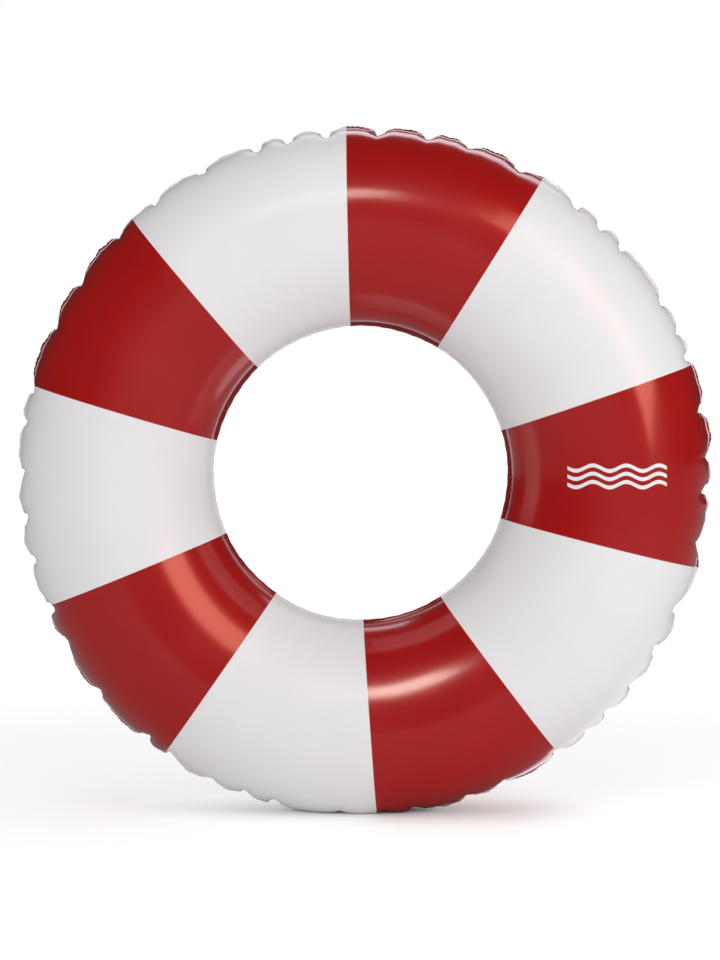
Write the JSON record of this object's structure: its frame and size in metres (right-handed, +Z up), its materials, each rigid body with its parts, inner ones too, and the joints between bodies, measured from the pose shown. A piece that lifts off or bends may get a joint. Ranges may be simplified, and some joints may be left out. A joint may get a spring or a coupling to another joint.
{
  "type": "inflatable swim ring",
  "caption": "Inflatable two-sheet swim ring printed in wide radial panels, standing on its rim, with a two-way screw-in inflation valve on the back.",
  "frame": {"origin": "on the floor, in the middle of the flat that the rim presses on it, in the plane of the weld", "axes": "+Y along the ring's axis from the front face to the back, which carries the valve; +Z up; +X to the right seen from the front"},
  "size_m": [1.068, 0.2897, 1.061],
  "materials": {
    "printed_film": "gloss",
    "valve_vinyl": "satin",
    "valve_plastic": "satin",
    "seal_rubber": "matte"
  },
  "bodies": {
    "ring": {"front_sheet": "printed_film", "back_sheet": "printed_film", "valve_base": "valve_vinyl"},
    "gasket": {"insert_gasket": "seal_rubber"},
    "insert": {"valve_insert": "valve_plastic", "flap_clip": "valve_plastic"},
    "flap": {"check_flap": "seal_rubber"},
    "cap": {"cap": "valve_plastic", "cap_seal": "seal_rubber"}
  },
  "joints": [
    {"name": "gasket_lift", "type": "slide", "parent": "ring", "child": "gasket", "axis": [0, 1, 0], "range_m": [0, 0.012]},
    {"name": "insert_unscrew", "type": "hinge", "parent": "gasket", "child": "insert", "pos_m": [-0.3815, 0.138, 0.527], "axis": [0, 1, 0], "range_deg": [0, 1440]},
    {"name": "flap_swing", "type": "hinge", "parent": "insert", "child": "flap", "pos_m": [-0.3815, 0.1318, 0.5394], "axis": [-1, 0, 0], "range_deg": [0, 50], "stiffness_Nm_per_rad": 0.0004},
    {"name": "cap_flip", "type": "hinge", "parent": "insert", "child": "cap", "pos_m": [-0.3815, 0.1498, 0.5435], "axis": [1, 0, 0], "range_deg": [0, 170]}
  ],
  "couplings": [
    {"joint": "gasket_lift", "follows": "insert_unscrew", "m_per_rad": 0.00047746}
  ]
}
